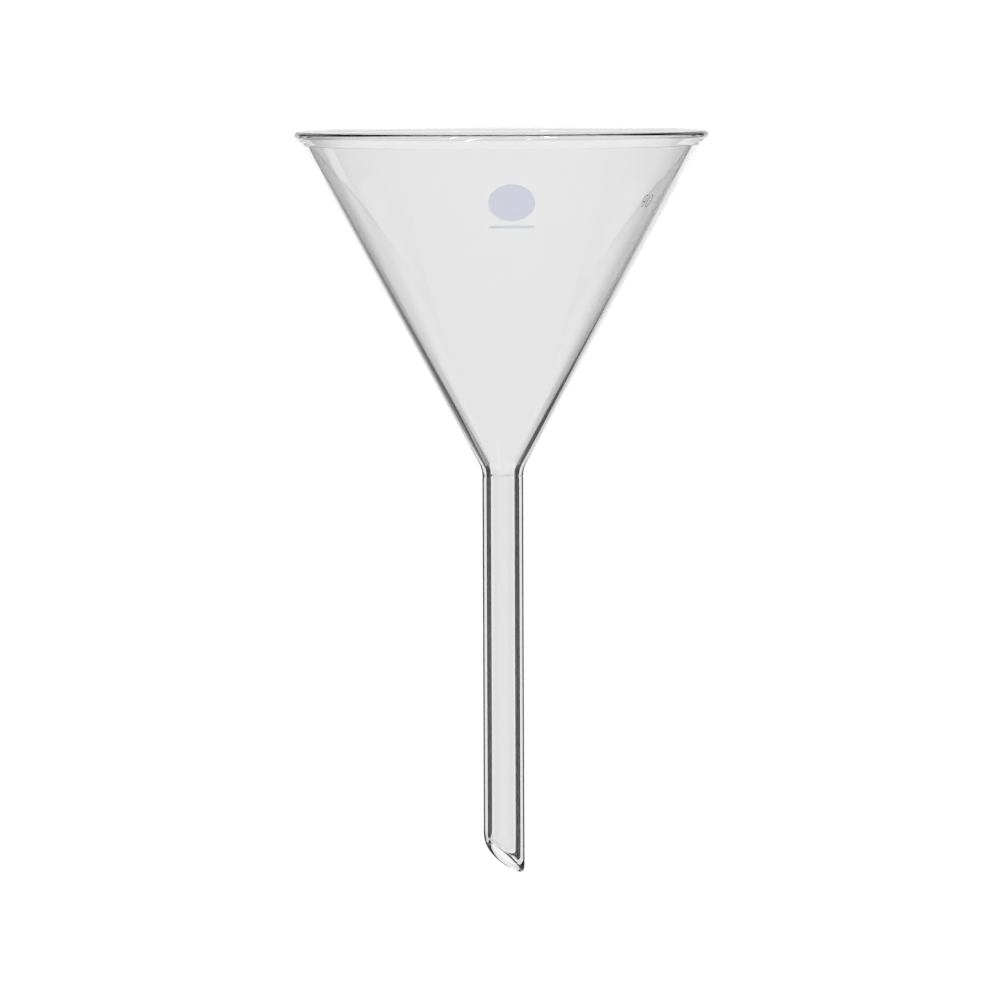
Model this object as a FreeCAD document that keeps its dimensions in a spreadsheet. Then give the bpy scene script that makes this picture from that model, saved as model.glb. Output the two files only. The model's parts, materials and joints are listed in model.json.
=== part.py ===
import FreeCAD, Part
import math
import os
import Sketcher

# A laboratory filter funnel in borosilicate glass, in millimetres.
# The axis is Z. The origin is on the axis at the seal, where the stem is fused to the bowl.
# The print is fired on the outside of the cone, round its front, which faces -Y.

doc = FreeCAD.newDocument("GlassFunnel")
origin = FreeCAD.Vector(0, 0, 0)
up = FreeCAD.Vector(0, 0, 1)
sideways = FreeCAD.Vector(1, 0, 0)
edge_match = 0.01      # how near an edge lies to the place it is looked for at
quarter_turn = 90
whole_turn = 360

# ---------------------------------------------------------------- driving sizes
sizes = {
    # bowl
    "rimRadius": 45.0,            # outermost reach of the rim
    "rimTop": 75.0,               # height of the rim above the seal
    "beadRadius": 0.85,           # half the thickness of the fire-polished edge
    "coneAngle": 28.65,           # between the cone's wall and the axis
    "neckCorner": 1.49,           # height where cone and stem would meet if nothing were blended
    "flareStart": 71.5,           # height where the outside turns towards the rim
    "flareStartInside": 73.0,     # height where the inside turns towards the rim
    "flareBlend": 2.0,            # blend radius there, outside and inside
    "wallAtRim": 1.35,            # wall thickness of the cone, square to the wall
    "wallAtNeck": 1.62,
    "neckBlend": 5.4,             # blend radius from the cone to the neck, outside
    "neckBlendInside": 5.8,
    # stem
    "stemRadius": 4.5,
    "boreRadius": 2.9,
    "stemLength": 87.6,           # from the seal to the sharp point of the cut, before polishing
    "cutAngle": 42.5,             # of the cut tip, above the horizontal
    "cutTurn": 31.5,              # how far the longest side stands round from +X, towards +Y
    "tipPolish": 0.45,            # rounding of the cut's two edges
    # fired-on enamel
    "enamelThickness": 0.06,
    "printBottom": 50.0,          # the heights that the enamel skin is made between
    "printTop": 68.0,
    "patchWidth": 10.0,
    "patchHeight": 8.0,
    "patchLevel": 60.4,           # height of the patch's middle
    "patchSide": 2.1,             # its middle, towards +X
    "underlineWidth": 9.6,
    "underlineHeight": 0.7,
    "underlineLevel": 55.2,
    "figureWidth": 1.4,
    "figureHeight": 2.5,
    "figureStroke": 0.3,
    "nineLoop": 0.6,              # the share of the nine's height that its loop takes
    "nineTail": 0.7,              # and its tail
    "figureSpacing": 1.9,
    "figureLevel": 60.2,
    "figureTurn": 58.0,           # round the bowl from the front, towards +X
}

sheet = doc.addObject("Spreadsheet::Sheet", "Sizes")
for row, (alias, number) in enumerate(sizes.items(), start=1):
    sheet.set("A%d" % row, alias)
    sheet.set("B%d" % row, str(number))
    sheet.setAlias("B%d" % row, alias)
doc.recompute()

# Formulas that several sizes share: how much the outside radius grows with height, and the
# outside radius of the cone at a height.
growth = "tan(Sizes.coneAngle * 1 deg)"
slant = "cos(Sizes.coneAngle * 1 deg)"


def cone_radius(height):
    return "(Sizes.stemRadius + (%s - Sizes.neckCorner) * %s)" % (height, growth)


def worth(formula):
    """The number that a formula over the sheet comes to."""
    result = sheet.evalExpression(formula)
    return float(getattr(result, "Value", result))


def bind(thing, **formulas):
    """Bind properties of a document object to formulas over the sheet."""
    for name, formula in formulas.items():
        thing.setExpression(name.replace("_", "."), formula)


def origin_plane(body, role):
    """One of a body's own base planes, found by its role."""
    for feature in body.Origin.OriginFeatures:
        if feature.Role == role:
            return feature
    raise ValueError("no plane " + role)


def new_sketch(body, name, role):
    """An empty sketch on one of the body's own base planes."""
    sketch = body.newObject("Sketcher::SketchObject", name)
    sketch.AttachmentSupport = [(origin_plane(body, role), "")]
    sketch.MapMode = "FlatFace"
    return sketch


def hold_point(sketch, curve, end, name, across, along):
    """Fix a curve's point at two formulas, measured from the sketch's origin."""
    for axis, formula in (("X", across), ("Y", along)):
        rule = Sketcher.Constraint("Distance" + axis, -1, 1, curve, end, worth(formula))
        index = sketch.addConstraint(rule)
        sketch.renameConstraint(index, name + axis)
        sketch.setExpression("Constraints." + name + axis, formula)


def circles_at(shape, places):
    """Names of the shape's round edges that lie at the given (radius, height) places."""
    names = []
    for number, edge in enumerate(shape.Edges, start=1):
        if not isinstance(edge.Curve, Part.Circle):
            continue
        for radius, height in places:
            near = abs(edge.Curve.Radius - radius) < edge_match
            if near and abs(edge.Curve.Center.z - height) < edge_match:
                names.append("Edge%d" % number)
    return names


def add_fillet(body, name, base, edges, alias):
    """Round the named edges of the base feature with a radius from the sheet."""
    fillet = body.newObject("PartDesign::Fillet", name)
    fillet.Base = (base, edges)
    fillet.Radius = worth("Sizes." + alias)
    bind(fillet, Radius="Sizes." + alias)
    body.Tip = fillet
    doc.recompute()
    return fillet


# ---------------------------------------------------------------- bowl
# Half of the wall's section, turned about the axis. Corners go up the outside of the wall,
# round the bead at the rim and down the inside.
bowl = doc.addObject("PartDesign::Body", "bowl")
bowl.Label = "bowl"
section = new_sketch(bowl, "BowlSection", "XZ_Plane")

inner_neck = ("(Sizes.neckCorner + (Sizes.boreRadius - Sizes.stemRadius"
              " + Sizes.wallAtNeck / %s) / %s)" % (slant, growth))
inner_flare = "(%s - Sizes.wallAtRim / %s)" % (cone_radius("Sizes.flareStartInside"), slant)
bead_across = "(Sizes.rimRadius - Sizes.beadRadius)"
bead_level = "(Sizes.rimTop - Sizes.beadRadius)"

outside = [("sealOutside", "Sizes.stemRadius", "0"),
           ("neckOutside", "Sizes.stemRadius", "Sizes.neckCorner"),
           ("flareOutside", cone_radius("Sizes.flareStart"), "Sizes.flareStart")]
inside = [("flareInside", inner_flare, "Sizes.flareStartInside"),
          ("neckInside", "Sizes.boreRadius", inner_neck),
          ("sealInside", "Sizes.boreRadius", "0")]


def corner(place):
    return FreeCAD.Vector(worth(place[1]), worth(place[2]), 0)


bead = FreeCAD.Vector(worth(bead_across), worth(bead_level), 0)
bead_radius = worth("Sizes.beadRadius")
diagonal = FreeCAD.Vector(1, -1, 0).normalize() * bead_radius
under_bead = bead + diagonal
over_bead = bead - diagonal

lines = [(corner(outside[0]), corner(outside[1])),
         (corner(outside[1]), corner(outside[2])),
         (corner(outside[2]), under_bead),
         (over_bead, corner(inside[0])),
         (corner(inside[0]), corner(inside[1])),
         (corner(inside[1]), corner(inside[2])),
         (corner(inside[2]), corner(outside[0]))]
for start, end in lines:
    section.addGeometry(Part.LineSegment(start, end), False)
eighth_turn = math.pi / 4
rim_arc = section.addGeometry(
    Part.ArcOfCircle(Part.Circle(bead, up, bead_radius), -eighth_turn, 3 * eighth_turn), False)
under_line, over_line = 2, 3
for first, second in ((0, 1), (1, 2), (3, 4), (4, 5), (5, 6), (6, 0)):
    section.addConstraint(Sketcher.Constraint("Coincident", first, 2, second, 1))
section.addConstraint(Sketcher.Constraint("Tangent", under_line, 2, rim_arc, 1))
section.addConstraint(Sketcher.Constraint("Tangent", rim_arc, 2, over_line, 1))
for curve, place in zip((0, 1, 2), outside):
    hold_point(section, curve, 1, place[0], place[1], place[2])
for curve, place in zip((4, 5, 6), inside):
    hold_point(section, curve, 1, place[0], place[1], place[2])
hold_point(section, rim_arc, 3, "beadCentre", bead_across, bead_level)
index = section.addConstraint(Sketcher.Constraint("Radius", rim_arc, bead_radius))
section.renameConstraint(index, "beadRadius")
section.setExpression("Constraints.beadRadius", "Sizes.beadRadius")
doc.recompute()

turned = bowl.newObject("PartDesign::Revolution", "BowlTurned")
turned.Profile = section
turned.ReferenceAxis = (section, ["V_Axis"])
turned.Angle = whole_turn
bowl.Tip = turned
doc.recompute()

base = turned
for name, place, alias in (("NeckBlend", outside[1], "neckBlend"),
                           ("NeckBlendInside", inside[1], "neckBlendInside"),
                           ("FlareBlend", outside[2], "flareBlend"),
                           ("FlareBlendInside", inside[0], "flareBlend")):
    edges = circles_at(base.Shape, [(worth(place[1]), worth(place[2]))])
    base = add_fillet(bowl, name, base, edges, alias)

# ---------------------------------------------------------------- stem
# A tube hanging from the seal, cut off askew, with the cut's edges melted round.
stem = doc.addObject("PartDesign::Body", "stem")
stem.Label = "stem"
ends = new_sketch(stem, "StemEnds", "XY_Plane")
for name, alias in (("outer", "stemRadius"), ("bore", "boreRadius")):
    ring = ends.addGeometry(Part.Circle(origin, up, worth("Sizes." + alias)), False)
    ends.addConstraint(Sketcher.Constraint("Coincident", ring, 3, -1, 1))
    index = ends.addConstraint(Sketcher.Constraint("Radius", ring, worth("Sizes." + alias)))
    ends.renameConstraint(index, name)
    ends.setExpression("Constraints." + name, "Sizes." + alias)
tube = stem.newObject("PartDesign::Pad", "StemTube")
tube.Profile = ends
tube.Reversed = True
bind(tube, Length="Sizes.stemLength")
stem.Tip = tube
doc.recompute()

# The cut: a triangle below a slanting line, on a plane turned about the axis.
rise = "tan(Sizes.cutAngle * 1 deg)"
overhang = "(3 * Sizes.stemRadius)"
cut_low = "(-Sizes.stemLength - 2 * Sizes.stemRadius * %s)" % rise    # on the cut's own slope,
cut_high = "(-Sizes.stemLength + 4 * Sizes.stemRadius * %s)" % rise   # both beyond the tube
wedge = new_sketch(stem, "CutWedge", "XZ_Plane")
wedge.AttachmentOffset = FreeCAD.Placement(
    origin, FreeCAD.Rotation(FreeCAD.Vector(0, 1, 0), worth("Sizes.cutTurn")))
wedge.setExpression("AttachmentOffset.Rotation.Angle", "Sizes.cutTurn * 1 deg")
wedge_points = [("toe", overhang, cut_low),
                ("heel", "-" + overhang, cut_high),
                ("waste", "-" + overhang, cut_low)]
for number in range(3):
    start = corner(wedge_points[number])
    end = corner(wedge_points[(number + 1) % 3])
    wedge.addGeometry(Part.LineSegment(start, end), False)
for number in range(3):
    wedge.addConstraint(Sketcher.Constraint("Coincident", number, 2, (number + 1) % 3, 1))
    hold_point(wedge, number, 1, *wedge_points[number])
doc.recompute()
before = tube.Shape.Volume
cut = stem.newObject("PartDesign::Pocket", "TipCut")
cut.Profile = wedge
cut.Midplane = True
bind(cut, Length="2 * %s" % overhang)
stem.Tip = cut
doc.recompute()
print("cut removes %.1f mm3" % (before - cut.Shape.Volume))

# The cut's edges lie low on the stem and go round it; the tube's straight seams don't.
tip_edges = []
for number, edge in enumerate(cut.Shape.Edges, start=1):
    goes_round = edge.BoundBox.XLength > worth("Sizes.boreRadius")
    if goes_round and edge.BoundBox.ZMax < worth("-Sizes.stemLength / 2"):
        tip_edges.append("Edge%d" % number)
polish = add_fillet(stem, "TipPolish", cut, tip_edges, "tipPolish")

# ---------------------------------------------------------------- fired-on print
# A skin of enamel hugging the cone, kept only where a print's outline, pushed straight
# through from the front, meets it.


def cone_solid(name, extra):
    """The cone between the print's two heights, grown outwards by a formula."""
    cone = doc.addObject("Part::Cone", name)
    bind(cone, Radius1=cone_radius("Sizes.printBottom") + " + " + extra,
         Radius2=cone_radius("Sizes.printTop") + " + " + extra,
         Height="Sizes.printTop - Sizes.printBottom",
         Placement_Base_z="Sizes.printBottom")
    return cone


def combine(kind, name, first, second):
    """A Part boolean of two objects."""
    result = doc.addObject(kind, name)
    result.Base = first
    result.Tool = second
    return result


def enamel_skin(name):
    grown = cone_solid(name + "Outside", "Sizes.enamelThickness / " + slant)
    glass = cone_solid(name + "Glass", "0")
    return combine("Part::Cut", name + "Skin", grown, glass)


def oval(name, half_width, half_height, across, level):
    """An oval prism from the axis to in front of the rim."""
    outline = doc.addObject("Part::Ellipse", name + "Outline")
    outline.Placement = FreeCAD.Placement(
        FreeCAD.Vector(worth(across), 0, worth(level)), FreeCAD.Rotation(sideways, quarter_turn))
    bind(outline, MajorRadius=half_width, MinorRadius=half_height,
         Placement_Base_x=across, Placement_Base_z=level)
    prism = doc.addObject("Part::Extrusion", name)
    prism.Base = outline
    prism.DirMode = "Custom"
    prism.Dir = FreeCAD.Vector(0, -1, 0)
    prism.Solid = True
    bind(prism, LengthFwd="Sizes.rimRadius")
    return prism


def bar(name, width, height, across, level):
    """A straight bar's prism from the axis to in front of the rim, centred on a place."""
    prism = doc.addObject("Part::Box", name)
    bind(prism, Length=width, Width="Sizes.rimRadius", Height=height,
         Placement_Base_x="%s - %s / 2" % (across, width),
         Placement_Base_y="-Sizes.rimRadius",
         Placement_Base_z="%s - %s / 2" % (level, height))
    return prism


patch_outline = oval("PatchOval", "Sizes.patchWidth / 2", "Sizes.patchHeight / 2",
                     "Sizes.patchSide", "Sizes.patchLevel")
marking_patch = combine("Part::Common", "marking_patch", enamel_skin("Patch"), patch_outline)

line_outline = bar("UnderlineBar", "Sizes.underlineWidth", "Sizes.underlineHeight",
                   "Sizes.patchSide", "Sizes.underlineLevel")
patch_underline = combine("Part::Common", "patch_underline", enamel_skin("Underline"), line_outline)

# The size figure 90: a nine, whose loop is the upper part and whose tail is a bar, and a nought.
half_step = "(Sizes.figureSpacing / 2)"
half_figure = "(Sizes.figureWidth / 2)"
loop_half = "(Sizes.figureHeight * Sizes.nineLoop / 2)"
loop_level = "(Sizes.figureLevel + Sizes.figureHeight * (1 - Sizes.nineLoop) / 2)"


def upright_oval(name, half_width, half_height, across, level):
    """An oval prism taller than it is wide."""
    prism = oval(name, half_height, half_width, across, level)
    outline = prism.Base
    turn = FreeCAD.Rotation(sideways, quarter_turn) * FreeCAD.Rotation(up, quarter_turn)
    outline.Placement = FreeCAD.Placement(outline.Placement.Base, turn)
    return prism


def figure_ring(name, half_height, across, level):
    whole = upright_oval(name + "Whole", half_figure, half_height, across, level)
    hole = upright_oval(name + "Hole", half_figure + " - Sizes.figureStroke",
                        half_height + " - Sizes.figureStroke", across, level)
    return combine("Part::Cut", name, whole, hole)


nine_loop = figure_ring("NineLoop", loop_half, "-" + half_step, loop_level)
nine_tail = bar("NineTail", "Sizes.figureStroke", "(Sizes.figureHeight * Sizes.nineTail)",
                "(-%s + %s - Sizes.figureStroke / 2)" % (half_step, half_figure),
                "(Sizes.figureLevel - Sizes.figureHeight * (1 - Sizes.nineTail) / 2)")
nine = combine("Part::Fuse", "Nine", nine_loop, nine_tail)
nought = figure_ring("Nought", "(Sizes.figureHeight / 2)", half_step, "Sizes.figureLevel")
figures = combine("Part::Fuse", "Figures", nine, nought)
size_number = combine("Part::Common", "size_number", enamel_skin("Number"), figures)
size_number.Placement = FreeCAD.Placement(origin, FreeCAD.Rotation(up, worth("Sizes.figureTurn")))
size_number.setExpression("Placement.Rotation.Angle", "Sizes.figureTurn * 1 deg")
doc.recompute()

# ---------------------------------------------------------------- check and write
failed = [thing.Name for thing in doc.Objects
          if "Invalid" in thing.State or "Error" in thing.State]
if failed:
    raise RuntimeError("failed objects: " + ", ".join(failed))

os.makedirs("parts", exist_ok=True)
for piece in (bowl, stem, marking_patch, patch_underline, size_number):
    shape = piece.Shape
    if shape.isNull() or not shape.isValid():
        raise RuntimeError("bad shape: " + piece.Label)
    shape.exportStep("parts/%s.step" % piece.Label)
    box = shape.BoundBox
    print("%-16s %d solid(s) %9.3f mm3  x %.2f..%.2f  y %.2f..%.2f  z %.2f..%.2f"
          % (piece.Label, len(shape.Solids), shape.Volume, box.XMin, box.XMax,
             box.YMin, box.YMax, box.ZMin, box.ZMax))
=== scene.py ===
import json
import math
import bmesh
import bpy
import mathutils
import numpy as np
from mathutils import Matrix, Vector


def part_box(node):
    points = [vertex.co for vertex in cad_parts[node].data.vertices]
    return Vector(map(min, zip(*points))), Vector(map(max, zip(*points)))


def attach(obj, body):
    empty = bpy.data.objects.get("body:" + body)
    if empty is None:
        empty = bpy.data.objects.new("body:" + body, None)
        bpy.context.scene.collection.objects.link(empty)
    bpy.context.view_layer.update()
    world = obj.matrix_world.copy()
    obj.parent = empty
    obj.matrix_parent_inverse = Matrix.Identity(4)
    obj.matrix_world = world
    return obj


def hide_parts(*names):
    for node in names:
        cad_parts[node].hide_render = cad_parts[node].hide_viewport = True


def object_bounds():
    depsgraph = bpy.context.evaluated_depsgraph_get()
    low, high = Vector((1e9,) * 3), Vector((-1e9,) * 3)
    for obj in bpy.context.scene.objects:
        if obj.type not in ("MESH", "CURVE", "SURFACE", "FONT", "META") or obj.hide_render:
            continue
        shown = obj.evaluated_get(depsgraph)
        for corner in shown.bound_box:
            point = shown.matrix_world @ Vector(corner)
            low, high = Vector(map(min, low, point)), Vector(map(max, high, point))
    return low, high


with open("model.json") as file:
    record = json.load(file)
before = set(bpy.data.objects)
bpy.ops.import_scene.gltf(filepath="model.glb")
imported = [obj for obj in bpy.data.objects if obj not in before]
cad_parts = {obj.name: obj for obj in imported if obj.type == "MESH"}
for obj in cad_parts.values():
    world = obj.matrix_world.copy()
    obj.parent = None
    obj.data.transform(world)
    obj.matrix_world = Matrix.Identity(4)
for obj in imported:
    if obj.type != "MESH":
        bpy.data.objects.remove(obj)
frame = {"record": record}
cadLow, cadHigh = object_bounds()
mm = 0.001  # sizes below are in millimetres and are turned into metres in the meshes
wholeTurn = 2 * math.pi

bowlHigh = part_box("bowl")[1]
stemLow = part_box("stem")[0]
mounts = {m["name"]: m for m in frame["record"]["mounts"]}
stemRadius = mounts["stem"]["dims"]["r_mm"]
boreRadius = mounts["stem_bore"]["dims"]["r_mm"]
rimRadius = bowlHigh[0] / mm - 0.02  # just inside the box
rimTop = bowlHigh[2] / mm
print("frame loaded: rim %.1f mm across, %.1f mm above the seal" % (2 * rimRadius, rimTop))


def gridMesh(name, points, closeAround=True, closeAlong=True, flip=False):
    # points is an array (along, around, 3) in mm; neighbours both ways are joined by quads
    along, around = points.shape[:2]
    ids = np.arange(along * around).reshape(along, around)
    rows = ids if closeAlong else ids[:-1]
    down = np.roll(ids, -1, axis=0) if closeAlong else ids[1:]
    right, downRight = np.roll(rows, -1, axis=1), np.roll(down, -1, axis=1)
    if not closeAround:
        rows, down, right, downRight = (a[:, :-1] for a in (rows, down, right, downRight))
    quads = np.stack([rows, right, downRight, down], axis=-1).reshape(-1, 4)
    if flip:
        quads = quads[:, ::-1]
    mesh = bpy.data.meshes.new(name)
    mesh.vertices.add(along * around)
    mesh.vertices.foreach_set("co", (points.reshape(-1, 3) * mm).ravel())
    mesh.loops.add(quads.size)
    mesh.loops.foreach_set("vertex_index", quads.ravel())
    mesh.polygons.add(len(quads))
    mesh.polygons.foreach_set("loop_start", np.arange(0, quads.size, 4))
    mesh.update(calc_edges=True)
    mesh.shade_smooth()
    piece = bpy.data.objects.new(name, mesh)
    bpy.context.collection.objects.link(piece)
    return piece


def closePoles(piece):
    # points that lie on each other at the middle of a round piece become one, and its edges
    # that turn by more than the crease are drawn crisp
    samePoint, crease = 1e-7, math.radians(40)
    mesh = bmesh.new()
    mesh.from_mesh(piece.data)
    bmesh.ops.remove_doubles(mesh, verts=mesh.verts, dist=samePoint)
    bmesh.ops.recalc_face_normals(mesh, faces=mesh.faces)
    mesh.to_mesh(piece.data)
    mesh.free()
    piece.data.set_sharp_from_angle(angle=crease)


def arcThrough(corner, before, after, radius, count):
    # a tangent arc that rounds the corner between two straight runs: its tangent length is the
    # radius times the tangent of half the turn, and its points are swept about its centre
    corner, before, after = (np.array(p, float) for p in (corner, before, after))
    inward = (before - corner) / np.linalg.norm(before - corner)
    outward = (after - corner) / np.linalg.norm(after - corner)
    half = math.acos(float(np.clip(inward @ outward, -1, 1))) / 2
    middle = inward + outward
    centre = corner + middle / np.linalg.norm(middle) * radius / math.sin(half)
    start = corner + inward * radius / math.tan(half) - centre
    end = corner + outward * radius / math.tan(half) - centre
    first = math.atan2(start[1], start[0])
    turn = (math.atan2(end[1], end[0]) - first + math.pi) % wholeTurn - math.pi
    angles = first + turn * np.linspace(0, 1, count)
    return centre + radius * np.stack([np.cos(angles), np.sin(angles)], axis=1)


def straight(start, end, count):
    # points strictly between the two ends of a straight run
    share = np.linspace(0, 1, count + 2)[1:-1, None]
    return np.array(start) * (1 - share) + np.array(end) * share


sealSizes = {
    "waist": 0.06,         # how far the fused joint draws in, outside
    "waistReach": 0.22,    # how far up and down that is felt
    "swell": 0.07,         # how far it stands into the bore
    "swellReach": 0.45,    # and how far up and down that is felt
}


def sealChange(z, a, outside):
    # the joint's bell curve, exp(-(z / reach)^2), drawn in outside and inside; round the tube its
    # depth wanders by the factor 1 + 0.7 sin(3 a + 0.5) sin(2 a + 2)
    reach = np.where(outside, sealSizes["waistReach"], sealSizes["swellReach"])
    depth = np.where(outside, sealSizes["waist"], sealSizes["swell"])
    wander = 1 + 0.7 * np.sin(3 * a + 0.5) * np.sin(2 * a + 2)
    return -depth * np.exp(-(z / reach) ** 2) * wander


bowlSizes = {
    "coneAngle": 28.65,        # degrees between wall and axis
    "neckCorner": 1.49,        # height where the outside of the cone meets the stem's radius
    "flareStart": 72.1,        # height where the outside turns out to the rim
    "flareStartInside": 73.0,
    "beadRadius": 0.85,        # half the thickness of the rim's rounded edge
    "flareBlend": 2.0,         # radii that round the profile's corners
    "neckBlend": 5.4,
    "neckBlendInside": 5.8,
    "thinBlend": 70.0,
    "wallAtRim": 1.2,          # wall thickness, square to the wall
    "wallThin": 1.05,
    "wallAtNeck": 1.62,
    "thinHeight": 65.0,        # where the wall is at its thinnest, below the thickened rim
    "rimWobble": 0.05,         # unevenness of the flame-worked edge
    "around": 512,
    # points along each stretch of the profile
    "neckSteps": 36, "flareSteps": 10, "beadSteps": 28, "thinSteps": 8,
    "wallSteps": 24, "rimStepsInside": 4, "wallStepsInside": 18, "boreSteps": 6,
}


def bowlProfile(s):
    # the closed outline of the wall's section, anticlockwise: up the outside, round the bead,
    # down the inside and across the seal; and how many of its points are outside. The wall is a
    # cone, r = stem radius + (z - neckCorner) tan(cone angle), whose corners are tangent arcs
    growth = math.tan(math.radians(s["coneAngle"]))
    slant = math.cos(math.radians(s["coneAngle"]))

    def cone(height):
        return stemRadius + (height - s["neckCorner"]) * growth

    bead = np.array([rimRadius - s["beadRadius"], rimTop - s["beadRadius"]])
    neckOut = np.array([stemRadius, s["neckCorner"]])
    flareOut = np.array([cone(s["flareStart"]), s["flareStart"]])
    innerNeck = s["neckCorner"] + (boreRadius - stemRadius + s["wallAtNeck"] / slant) / growth
    neckIn = np.array([boreRadius, innerNeck])
    flareIn = np.array([cone(s["flareStartInside"]) - s["wallAtRim"] / slant,
                        s["flareStartInside"]])
    thinIn = np.array([cone(s["thinHeight"]) - s["wallThin"] / slant, s["thinHeight"]])

    def touch(corner, side):
        # where a line from the corner touches the bead's circle
        reach = corner - bead
        swing = math.acos(s["beadRadius"] / np.linalg.norm(reach))
        return math.atan2(reach[1], reach[0]) + side * swing

    first = touch(flareOut, 1)
    last = first + (touch(flareIn, -1) - first) % wholeTurn
    angles = np.linspace(first, last, s["beadSteps"])
    beadArc = bead + s["beadRadius"] * np.stack([np.cos(angles), np.sin(angles)], axis=1)
    sealOut, sealIn = np.array([stemRadius, 0.0]), np.array([boreRadius, 0.0])
    arcNeckOut = arcThrough(neckOut, sealOut, flareOut, s["neckBlend"], s["neckSteps"])
    arcFlareOut = arcThrough(flareOut, neckOut, beadArc[0], s["flareBlend"], s["flareSteps"])
    arcFlareIn = arcThrough(flareIn, beadArc[-1], thinIn, s["flareBlend"], s["flareSteps"])
    arcThinIn = arcThrough(thinIn, flareIn, neckIn, s["thinBlend"], s["thinSteps"])
    arcNeckIn = arcThrough(neckIn, thinIn, sealIn, s["neckBlendInside"], s["neckSteps"])
    wallOut = straight(arcNeckOut[-1], arcFlareOut[0], s["wallSteps"])
    rimIn = straight(arcFlareIn[-1], arcThinIn[0], s["rimStepsInside"])
    wallIn = straight(arcThinIn[-1], arcNeckIn[0], s["wallStepsInside"])
    boreRun = straight(arcNeckIn[-1], sealIn, s["boreSteps"])
    outside = np.concatenate([sealOut[None], arcNeckOut, wallOut, arcFlareOut, beadArc])
    inside = np.concatenate([arcFlareIn, rimIn, arcThinIn, wallIn, arcNeckIn, boreRun,
                             sealIn[None]])
    return np.concatenate([outside, inside]), len(outside)


def turned(profile, outsideCount, s):
    # the profile carried round the axis, x = r cos a, y = r sin a; towards the rim, as a
    # flame-worked edge does, r falls short by w (2 + sin(3 a + 0.9) + sin(5 a + 2.2)) / 4 and z by
    # w (2 + sin(2 a + 0.4) + sin(7 a)) / 4, where w grows from 0 at the flare to the wobble
    a = np.linspace(0, wholeTurn, s["around"], endpoint=False)
    r, z = profile[:, 0:1], profile[:, 1:2]
    near = np.clip((z - s["flareStart"]) / (rimTop - s["flareStart"]), 0, 1) ** 2 * s["rimWobble"]
    r = r - near * (2 + np.sin(3 * a + 0.9) + np.sin(5 * a + 2.2)) / 4
    r = r + sealChange(z, a, np.arange(len(profile))[:, None] < outsideCount)
    z = z - near * (2 + np.sin(2 * a + 0.4) + np.sin(7 * a)) / 4
    return np.stack([r * np.cos(a), r * np.sin(a), z], axis=-1)


bowl = gridMesh("glass_bowl", turned(*bowlProfile(bowlSizes), bowlSizes))
print("bowl: %d triangles" % (2 * len(bowl.data.polygons)))

stemSizes = {
    "cutAngle": 42.5,    # degrees above the horizontal
    "cutTurn": 31.5,     # where the longest side stands, degrees from +X towards +Y
    "polish": 2.2,       # how far the melted edge draws up the wall
    "crown": 0.55,       # how far the cut bulges downwards between its two ends
    "clear": 0.02,       # kept free below the tip
    "around": 512,
    "capSteps": 26,      # round the melted edge of the tip
    "rows": 56,          # down the tube
    "crowding": 3,       # power that draws the rows together towards the seal
}


def stemPoints(s):
    # a tube whose end follows a slanting plane, z = low - tan(cut) r u, with u = cos(a - turn),
    # bulged down by crown (1 - (r u / R)^2), and whose wall is closed below by half an ellipse,
    # r = middle + half wall cos t, z = polish (1 - sin t)
    a = np.linspace(0, wholeTurn, s["around"], endpoint=False)
    steep = math.tan(math.radians(s["cutAngle"]))
    lean = np.cos(a - math.radians(s["cutTurn"]))
    theta = np.linspace(0, math.pi, s["capSteps"])[:, None]
    capR = (stemRadius + boreRadius) / 2 + (stemRadius - boreRadius) / 2 * np.cos(theta) + 0 * lean
    capZ = s["polish"] * (1 - np.sin(theta)) - steep * capR * lean
    capZ -= s["crown"] * (1 - (capR * lean / stemRadius) ** 2)
    capZ += stemLow[2] / mm + s["clear"] - capZ.min()
    share = np.linspace(0, 1, s["rows"])[:, None] ** s["crowding"]
    outerZ = capZ[:1] * share
    innerZ = capZ[-1:] * share[::-1]
    outerR = stemRadius + sealChange(outerZ, a, True)
    innerR = boreRadius + sealChange(innerZ, a, False)
    r = np.concatenate([outerR[:-1], capR, innerR[1:]])
    z = np.concatenate([outerZ[:-1], capZ, innerZ[1:]])
    return np.stack([r * np.cos(a), r * np.sin(a), z], axis=-1)


stem = gridMesh("glass_stem", stemPoints(stemSizes), flip=True)
print("stem: %d triangles" % (2 * len(stem.data.polygons)))


def markSeal(piece):
    # the flat ring at the joint gets its own material and crisp edges
    onSeal, sameRing = 1e-9, 1e-4  # metres
    mesh = piece.data
    places = np.empty(len(mesh.vertices) * 3)
    mesh.vertices.foreach_get("co", places)
    level = np.abs(places[2::3]) < onSeal
    corners = np.empty(len(mesh.loops), int)
    mesh.loops.foreach_get("vertex_index", corners)
    flat = level[corners].reshape(-1, 4).all(axis=1)
    mesh.polygons.foreach_set("material_index", flat.astype(int))
    ends = np.empty(len(mesh.edges) * 2, int)
    mesh.edges.foreach_get("vertices", ends)
    radius = np.hypot(places[0::3], places[1::3])
    pair = ends.reshape(-1, 2)
    ring = level[pair].all(axis=1) & (np.abs(radius[pair[:, 0]] - radius[pair[:, 1]]) < sameRing)
    mesh.attributes.new("sharp_edge", "BOOLEAN", "EDGE").data.foreach_set("value", ring)
    mesh.update()


markSeal(bowl)
markSeal(stem)

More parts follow.
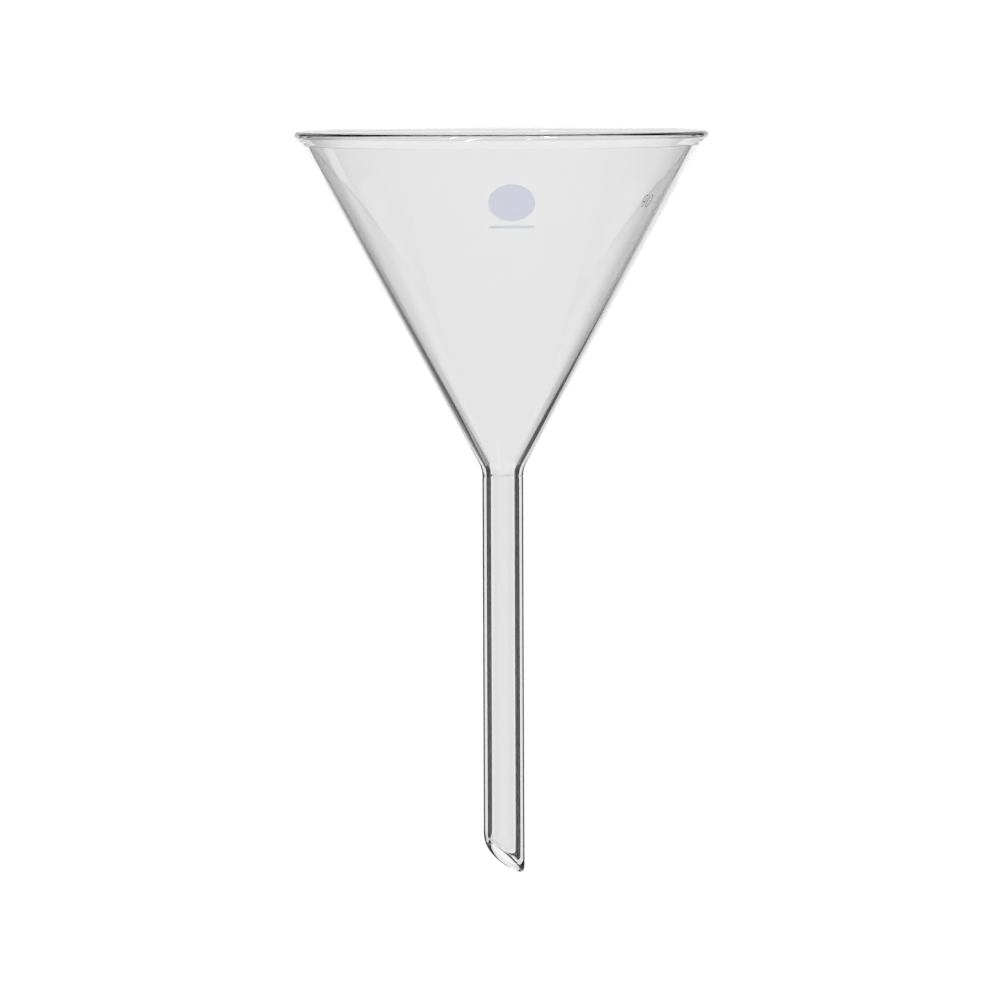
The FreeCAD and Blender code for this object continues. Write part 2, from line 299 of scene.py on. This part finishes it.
printSizes = {
    "gap": 0.008,          # between the glass and the enamel
    "thickness": 0.02,
    "inset": 0.03,         # the print stays this far inside its outline
    "patchCorner": 2.0,    # powers of the outlines: 2 is an ellipse, and more is squarer
    "underlineCorner": 8.0,
    "around": 160,
    "rings": 12,
    "figureTurn": 58.0,    # round the bowl from the front, towards +X
    "figureHeight": 2.6,
    "figureWidth": 1.35,
    "figureStroke": 0.22,
    "figureStep": 2.05,    # between the middles of the two figures
    "figureLevel": 60.2,
    "figureSlant": 0.12,   # how far the figures lean, as a share of their height
    "loopHeight": 0.29,    # half the height of the nine's loop, as a share of the figure's
    "loopTurn": (0.5688, 5.474),   # where the pull of the pen begins and ends, in radians
    "backCurl": 0.5,       # how far the foot of the nine's back curls in, as a share
    "loopSteps": 49, "backSteps": 24, "noughtSteps": 72,
}


def onCone(x, z, lift, turn=0.0):
    # a flat outline (x, z) pushed straight back on to the cone, y = -sqrt((r(z) + lift)^2 - x^2),
    # and then turned about the axis
    growth = math.tan(math.radians(bowlSizes["coneAngle"]))
    r = stemRadius + (z - bowlSizes["neckCorner"]) * growth + lift
    y = -np.sqrt(r ** 2 - x ** 2)
    a = math.radians(turn)
    turnedX, turnedY = x * math.cos(a) - y * math.sin(a), x * math.sin(a) + y * math.cos(a)
    return np.stack([turnedX, turnedY, z], axis=-1)


def printedArea(name, node, corner):
    # a filled outline inside the node's box: a superellipse x = a |cos|^(2/n), z = b |sin|^(2/n),
    # scaled from its middle outwards for the under side and back again for the top
    low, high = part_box(node)
    middle = [(low[i] + high[i]) / 2 / mm for i in (0, 2)]
    half = [(high[i] - low[i]) / 2 / mm - printSizes["inset"] for i in (0, 2)]
    a = np.linspace(0, wholeTurn, printSizes["around"], endpoint=False)
    share = np.linspace(0, 1, printSizes["rings"])[:, None]
    x = middle[0] + half[0] * share * np.sign(np.cos(a)) * np.abs(np.cos(a)) ** (2 / corner)
    z = middle[1] + half[1] * share * np.sign(np.sin(a)) * np.abs(np.sin(a)) ** (2 / corner)
    under = onCone(x, z, printSizes["gap"])
    top = onCone(x, z, printSizes["gap"] + printSizes["thickness"])
    piece = gridMesh(name, np.concatenate([under, top[::-1]]))
    closePoles(piece)
    return piece


def strokeMesh(name, path, closed):
    # a flat stroke along a path: both edges lie half a stroke to the side of it, below and above
    step = np.roll(path, -1, axis=0) - np.roll(path, 1, axis=0)
    if not closed:
        step[0], step[-1] = path[1] - path[0], path[-1] - path[-2]
    side = np.stack([-step[:, 1], step[:, 0]], axis=1) / np.linalg.norm(step, axis=1)[:, None]
    left = path + side * printSizes["figureStroke"] / 2
    right = path - side * printSizes["figureStroke"] / 2
    low, high = printSizes["gap"], printSizes["gap"] + printSizes["thickness"]
    rows = [onCone(p[:, 0], p[:, 1], lift, printSizes["figureTurn"])
            for p, lift in ((left, low), (right, low), (right, high), (left, high))]
    points = np.stack(rows, axis=1)
    if not closed:
        ends = [points[i].mean(axis=0, keepdims=True).repeat(4, axis=0)[None] for i in (0, -1)]
        points = np.concatenate([ends[0], points, ends[1]])
    piece = gridMesh(name, points, closeAlong=closed)
    closePoles(piece)
    return piece


def figurePaths(s):
    # a nine, as the oval arc of its loop, x = w cos a, z = middle + loop sin a, and its back,
    # x = w - curl w d^3 for d from 0 at its top to 1; and a nought, the oval x = w cos a,
    # z = h / 2 sin a; all lean with their height
    h, w = s["figureHeight"], s["figureWidth"] / 2
    loop = s["loopHeight"] * h
    a = np.linspace(*s["loopTurn"], s["loopSteps"])
    nineLoop = np.stack([w * np.cos(a), h / 2 - loop + loop * np.sin(a)], axis=1)
    down = np.linspace(0, 1, s["backSteps"])[:, None]
    back = np.concatenate([w - s["backCurl"] * w * down ** 3, h / 2 - loop - (h - loop) * down],
                          axis=1)
    a = np.linspace(0, wholeTurn, s["noughtSteps"], endpoint=False)
    nought = np.stack([w * np.cos(a), h / 2 * np.sin(a)], axis=1)
    paths = []
    for path, across in ((nineLoop, -0.5), (back, -0.5), (nought, 0.5)):  # in figure steps
        x = path[:, 0] + across * s["figureStep"] + s["figureSlant"] * path[:, 1]
        paths.append(np.stack([x, path[:, 1] + s["figureLevel"]], axis=1))
    return paths


patch = printedArea("blue_patch", "marking_patch", corner=printSizes["patchCorner"])
underline = printedArea("blue_underline", "patch_underline", corner=printSizes["underlineCorner"])
nineLoop, nineBack, noughtPath = figurePaths(printSizes)
figures = [strokeMesh("figure_nine_loop", nineLoop, closed=False),
           strokeMesh("figure_nine_back", nineBack, closed=False),
           strokeMesh("figure_nought", noughtPath, closed=True)]
print("prints: %d pieces" % (2 + len(figures)))


def addSocket(group, name, kind, side, value=None):
    socket = group.interface.new_socket(name=name, in_out=side, socket_type=kind)
    if value is not None:
        socket.default_value = value


waveSizes = {
    "broad": (1.0, 0.0),    # scale and detail of the noise
    "fine": (3.7, 1.0),
}


def wavesGroup(s):
    # long soft waves in drawn or pressed glass: noise stretched along the way the glass was worked
    group = bpy.data.node_groups.new("workedWaves", "ShaderNodeTree")
    addSocket(group, "Stretch", "NodeSocketVector", "INPUT", (1, 1, 1))
    addSocket(group, "Fine", "NodeSocketFloat", "INPUT", 0.3)
    addSocket(group, "Height", "NodeSocketFloat", "OUTPUT")
    nodes, links = group.nodes, group.links
    given, result = nodes.new("NodeGroupInput"), nodes.new("NodeGroupOutput")
    where = nodes.new("ShaderNodeTexCoord")
    scaled = nodes.new("ShaderNodeVectorMath")
    scaled.operation = "MULTIPLY"
    links.new(where.outputs["Object"], scaled.inputs[0])
    links.new(given.outputs["Stretch"], scaled.inputs[1])
    broad, fine = nodes.new("ShaderNodeTexNoise"), nodes.new("ShaderNodeTexNoise")
    for noise, (scale, detail) in ((broad, s["broad"]), (fine, s["fine"])):
        noise.inputs["Scale"].default_value = scale
        noise.inputs["Detail"].default_value = detail
        links.new(scaled.outputs[0], noise.inputs["Vector"])
    mixed = nodes.new("ShaderNodeMath")
    mixed.operation = "MULTIPLY_ADD"
    links.new(fine.outputs["Fac"], mixed.inputs[0])
    links.new(given.outputs["Fine"], mixed.inputs[1])
    links.new(broad.outputs["Fac"], mixed.inputs[2])
    links.new(mixed.outputs[0], result.inputs["Height"])
    return group


speckleSizes = {
    "detail": 4.0,
    "range": (0.3, 0.7),    # of the noise, over which thin turns to thick
}


def speckleGroup(s):
    # the uneven bite of a fired print: fine mottling between two colours
    group = bpy.data.node_groups.new("firedSpeckle", "ShaderNodeTree")
    addSocket(group, "Grain", "NodeSocketFloat", "INPUT", 3000.0)
    addSocket(group, "Thin", "NodeSocketColor", "INPUT", (1, 1, 1, 1))
    addSocket(group, "Thick", "NodeSocketColor", "INPUT", (0.5, 0.5, 0.5, 1))
    addSocket(group, "Color", "NodeSocketColor", "OUTPUT")
    nodes, links = group.nodes, group.links
    given, result = nodes.new("NodeGroupInput"), nodes.new("NodeGroupOutput")
    where, noise = nodes.new("ShaderNodeTexCoord"), nodes.new("ShaderNodeTexNoise")
    noise.inputs["Detail"].default_value = s["detail"]
    links.new(where.outputs["Object"], noise.inputs["Vector"])
    links.new(given.outputs["Grain"], noise.inputs["Scale"])
    spread, mix = nodes.new("ShaderNodeMapRange"), nodes.new("ShaderNodeMix")
    spread.inputs["From Min"].default_value, spread.inputs["From Max"].default_value = s["range"]
    links.new(noise.outputs["Fac"], spread.inputs["Value"])
    mix.data_type = "RGBA"
    links.new(spread.outputs["Result"], mix.inputs["Factor"])
    links.new(given.outputs["Thin"], mix.inputs["A"])
    links.new(given.outputs["Thick"], mix.inputs["B"])
    links.new(mix.outputs["Result"], result.inputs["Color"])
    return group


waves, speckle = wavesGroup(waveSizes), speckleGroup(speckleSizes)


def newMaterial(name, **values):
    material = bpy.data.materials.new(name)
    material.use_nodes = True
    shader = material.node_tree.nodes["Principled BSDF"]
    for key, value in values.items():
        shader.inputs[key.replace("_", " ")].default_value = value
    return material, shader


def placeGroup(material, group, **values):
    node = material.node_tree.nodes.new("ShaderNodeGroup")
    node.node_tree = group
    for key, value in values.items():
        node.inputs[key].default_value = value
    return node


glassLook = {
    "tint": (0.906, 0.906, 0.907, 1),
    "body": (0.80, 0.815, 0.80, 1),     # what thick glass holds back, with its density per metre
    "density": 100.0,
    "ior": 1.47,                        # borosilicate
    "bowlStretch": (12, 12, 120),       # rings round the bowl, per metre
    "stemStretch": (700, 700, 9),       # lines drawn down the stem
    "bowlDepth": 0.000002,              # height of the waves, in metres
    "stemDepth": 0.0000015,
}


def thicken(material, look):
    # long ways through the glass, as along its edges, come out darker; the seal's hidden ring has
    # the same body as the glass on both sides of it
    nodes, links = material.node_tree.nodes, material.node_tree.links
    body = nodes.new("ShaderNodeVolumeAbsorption")
    body.inputs["Color"].default_value = look["body"]
    body.inputs["Density"].default_value = look["density"]
    links.new(body.outputs[0], nodes["Material Output"].inputs["Volume"])


def glassMaterial(name, look, stretch, depth):
    material, shader = newMaterial(name, Base_Color=look["tint"], Roughness=0.0, IOR=look["ior"],
                                   Transmission_Weight=1.0)
    links = material.node_tree.links
    worked = placeGroup(material, waves, Stretch=stretch)
    bump = material.node_tree.nodes.new("ShaderNodeBump")
    bump.inputs["Strength"].default_value = 1.0
    bump.inputs["Distance"].default_value = depth
    links.new(worked.outputs["Height"], bump.inputs["Height"])
    links.new(bump.outputs["Normal"], shader.inputs["Normal"])
    thicken(material, look)
    return material


enamelLooks = {
    # colours where the print is thin and thick, and the shader's own values
    "pale_blue_enamel": ((0.83, 0.85, 0.93, 1), (0.74, 0.77, 0.89, 1),
                         {"Roughness": 0.08, "IOR": 1.2, "Transmission_Weight": 1.0}),
    "grey_enamel": ((0.30, 0.31, 0.33, 1), (0.16, 0.17, 0.19, 1),
                    {"Roughness": 0.4, "Alpha": 0.6}),
}


def printMaterial(name):
    thin, thick, values = enamelLooks[name]
    material, shader = newMaterial(name, **values)
    speckled = placeGroup(material, speckle, Thin=thin, Thick=thick)
    material.node_tree.links.new(speckled.outputs["Color"], shader.inputs["Base Color"])
    return material


bowlGlass = glassMaterial("bowl_glass", glassLook, glassLook["bowlStretch"], glassLook["bowlDepth"])
stemGlass = glassMaterial("stem_glass", glassLook, glassLook["stemStretch"], glassLook["stemDepth"])
sealed = newMaterial("melted_seal", Alpha=0.0)[0]
thicken(sealed, glassLook)
blueEnamel, greyEnamel = printMaterial("pale_blue_enamel"), printMaterial("grey_enamel")

for piece, glass, node in ((bowl, bowlGlass, "bowl"), (stem, stemGlass, "stem")):
    piece.data.materials.append(glass)
    piece.data.materials.append(sealed)
    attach(piece, "root")
    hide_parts(node)
for piece, node in ((patch, "marking_patch"), (underline, "patch_underline")):
    piece.data.materials.append(blueEnamel)
    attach(piece, "root")
    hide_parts(node)
for piece in figures:
    piece.data.materials.append(greyEnamel)
    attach(piece, "root")
    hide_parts("size_number")
print("materials placed")

# the studio as seen from the object: azimuth from behind it towards +X and height, in degrees;
# pairs are where a change begins and ends
studio = {
    "white": 1.09,
    "soft": 0.9,              # width of the boards' edges
    "leftEdge": 27.0,         # how far the white sweep reaches to the left
    "leftEdgeLow": 19.6,      # the same below the sweep's bend
    "rightEdge": 25.5,
    "bend": (-7.4, -9.8),     # the sweep bends forward and greys
    "bendTone": 0.8,
    "bendEnd": (-19.0, -24.0),
    "above": (0.5, 3.0),      # the sweep is a little darker above the level
    "aboveTone": 0.86,
    "edge": (13, 22),         # and brighter towards its sides
    "edgeGlow": 0.16,
    "under": (-25.0, -40.0),  # the floor's paleness takes over
    "underTone": 0.75,
    "over": (6.0, 20.0),      # a bright cove begins
    "overEnd": (24.0, 38.0),
    "overTone": 1.05,
    "dark": 0.035,
    "leftRoom": (-34, -28),   # the grey of the room beside the low left edge
    "leftRoomEnd": (-10, 0),
    "leftGlow": 0.2,
    "frontReach": (-0.7, -0.9),   # the room in front, by the direction's Y
    "front": 0.35,
    # further square white boards: azimuth, height, half width and tone
    "boards": [(-90, -3, 7.0, 1.0), (90, -3, 7.0, 1.0), (-45, -25, 4.6, 0.5),
               (135, -15, 5.5, 0.97)],
}


def buildWorld(s):
    world = bpy.data.worlds.new("studio")
    bpy.context.scene.world = world
    world.use_nodes = True
    nodes, links = world.node_tree.nodes, world.node_tree.links
    nodes.clear()
    where = nodes.new("ShaderNodeTexCoord").outputs["Generated"]
    split = nodes.new("ShaderNodeSeparateXYZ")
    links.new(where, split.inputs[0])

    def fill(socket, value):
        if isinstance(value, (int, float)):
            socket.default_value = value
        else:
            links.new(value, socket)

    def maths(operation, *values):
        node = nodes.new("ShaderNodeMath")
        node.operation = operation
        for socket, value in zip(node.inputs, values):
            fill(socket, value)
        return node.outputs[0]

    def fade(value, start, end, low=0.0, high=1.0):
        # low at start, high at end, smooth between; start may be above end
        node = nodes.new("ShaderNodeMapRange")
        node.interpolation_type = "SMOOTHSTEP"
        for name, given in (("Value", value), ("From Min", start), ("From Max", end),
                            ("To Min", low), ("To Max", high)):
            fill(node.inputs[name], given)
        return node.outputs["Result"]

    degrees = 180 / math.pi
    azimuth = maths("MULTIPLY", maths("ARCTAN2", split.outputs["X"], split.outputs["Y"]), degrees)
    height = maths("MULTIPLY", maths("ARCSINE", split.outputs["Z"]), degrees)
    soft = s["soft"]
    left = fade(height, *s["bend"], s["leftEdge"], s["leftEdgeLow"])
    inLeft = fade(maths("ADD", azimuth, left), -soft, soft)
    inRight = fade(maths("SUBTRACT", s["rightEdge"], azimuth), -soft, soft)
    low = maths("MULTIPLY", fade(height, *s["bend"]), fade(height, *s["bendEnd"], 1.0, 0.0))
    tone = maths("SUBTRACT", fade(height, *s["above"], 1.0, s["aboveTone"]),
                 maths("MULTIPLY", low, 1 - s["bendTone"]))
    edge = maths("MULTIPLY", fade(maths("ABSOLUTE", azimuth), *s["edge"], 0.0, s["edgeGlow"]),
                 fade(height, *s["bend"], 1.0, 0.0))
    sweep = maths("MULTIPLY", maths("MULTIPLY", inLeft, inRight), maths("ADD", tone, edge))
    sweep = maths("MULTIPLY", sweep, s["white"])
    leftRoom = maths("MULTIPLY", fade(azimuth, *s["leftRoom"]),
                     fade(azimuth, *s["leftRoomEnd"], 1.0, 0.0))
    glow = maths("MULTIPLY", maths("MULTIPLY", low, leftRoom), s["leftGlow"])
    level = maths("MAXIMUM", sweep, maths("MAXIMUM", glow, s["dark"]))
    level = maths("MAXIMUM", level, fade(split.outputs["Y"], *s["frontReach"], 0.0, s["front"]))
    level = maths("MAXIMUM", level, fade(height, *s["under"], 0.0, s["underTone"]))
    cove = maths("MULTIPLY", fade(height, *s["over"]), fade(height, *s["overEnd"], 1.0, 0.0))
    level = maths("MAXIMUM", level, maths("MULTIPLY", cove, s["overTone"]))
    for across, up, half, brightness in s["boards"]:
        a, h = math.radians(across), math.radians(up)
        ahead = (math.sin(a) * math.cos(h), math.cos(a) * math.cos(h), math.sin(h))
        beside = (math.cos(a), -math.sin(a), 0.0)
        above = (-math.sin(a) * math.sin(h), -math.cos(a) * math.sin(h), math.cos(h))
        away = []
        for axis in (ahead, beside, above):
            dot = nodes.new("ShaderNodeVectorMath")
            dot.operation = "DOT_PRODUCT"
            links.new(where, dot.inputs[0])
            dot.inputs[1].default_value = axis
            away.append(dot.outputs["Value"])
        off = maths("MULTIPLY", maths("ARCSINE", maths("MAXIMUM", maths("ABSOLUTE", away[1]),
                                                       maths("ABSOLUTE", away[2]))), degrees)
        board = maths("MULTIPLY", fade(off, half + soft / 2, half - soft / 2, 0.0, brightness),
                      maths("GREATER_THAN", away[0], 0.0))
        level = maths("MAXIMUM", level, board)
    back, out = nodes.new("ShaderNodeBackground"), nodes.new("ShaderNodeOutputWorld")
    back.inputs["Color"].default_value = (1, 1, 1, 1)
    links.new(level, back.inputs["Strength"])
    links.new(back.outputs[0], out.inputs["Surface"])


buildWorld(studio)

floorSizes = {
    "radius": 450.0,
    "below": 300.0,       # beneath the tip of the stem
    "dish": 2.0,          # how far its edge stands up
    "around": 96,
    "rings": 24,
    "thin": (0.86, 0.86, 0.86, 1),
    "thick": (0.82, 0.82, 0.82, 1),
    "grain": 60.0,
    "roughness": 0.7,
    "glow": 0.3,          # it is lit from beneath, as a light table is
}


def floorPiece(s):
    # a round floor, rings of radius R u, dished up by dish u^4
    a = np.linspace(0, wholeTurn, s["around"], endpoint=False)
    u = np.linspace(0, 1, s["rings"])[:, None]
    r = s["radius"] * u
    z = stemLow[2] / mm - s["below"] + s["dish"] * u ** 4 + 0 * a
    piece = gridMesh("floor", np.stack([r * np.cos(a), r * np.sin(a), z], axis=-1),
                     closeAlong=False)
    closePoles(piece)
    material, shader = newMaterial("pale_floor", Roughness=s["roughness"],
                                   Emission_Color=(1, 1, 1, 1), Emission_Strength=s["glow"])
    speckled = placeGroup(material, speckle, Grain=s["grain"], Thin=s["thin"], Thick=s["thick"])
    material.node_tree.links.new(speckled.outputs["Color"], shader.inputs["Base Color"])
    piece.data.materials.append(material)


floorPiece(floorSizes)

# azimuth from the front towards +X and height in degrees; distance, width and length in metres;
# watts
lamps = {
    "key": (180, 50, 1.8, 1.0, 1.0, 8.0),
    "right": (29.6, 36, 1.6, 0.08, 0.9, 7.0),
    "left": (-28.4, 34, 1.6, 0.06, 0.7, 3.2),
}
for name, (across, up, distance, width, length, power) in lamps.items():
    light = bpy.data.lights.new(name, "AREA")
    light.shape, light.size, light.size_y, light.energy = "RECTANGLE", width, length, power
    lamp = bpy.data.objects.new(name, light)
    a, h = math.radians(across), math.radians(up)
    away = mathutils.Vector((math.sin(a) * math.cos(h), -math.cos(a) * math.cos(h), math.sin(h)))
    spot = away * distance
    lamp.location = spot
    lamp.rotation_mode = "QUATERNION"
    lamp.rotation_quaternion = (-spot).to_track_quat("-Z", "Y")
    bpy.context.collection.objects.link(lamp)

cameraSizes = {
    "distance": 1.5,           # metres, as are the rest but the roll
    "aboveRim": 0.0277,
    "aim": (-0.00062, 0, -0.0053),
    "roll": 0.22,              # degrees
    "frameWidth": 0.2177,      # what the camera takes in at the axis
    "farEnd": 100,
}
camera = bpy.data.objects.new("camera", bpy.data.cameras.new("camera"))
bpy.context.collection.objects.link(camera)
aim = mathutils.Vector(cameraSizes["aim"])
camera.location = (aim[0], -cameraSizes["distance"], cadHigh[2] + cameraSizes["aboveRim"])
look = aim - camera.location
camera.rotation_mode = "QUATERNION"
roll = mathutils.Quaternion(look.normalized(), math.radians(cameraSizes["roll"]))
camera.rotation_quaternion = roll @ look.to_track_quat("-Z", "Y")
camera.data.lens = camera.data.sensor_width * look.length / cameraSizes["frameWidth"]
camera.data.clip_end = cameraSizes["farEnd"]
scene = bpy.context.scene
scene.camera = camera
scene.view_settings.view_transform = "Standard"
scene.cycles.max_bounces = 128
scene.cycles.transmission_bounces = 128
scene.cycles.glossy_bounces = 32
scene.cycles.transparent_max_bounces = 24
print("studio and camera placed")
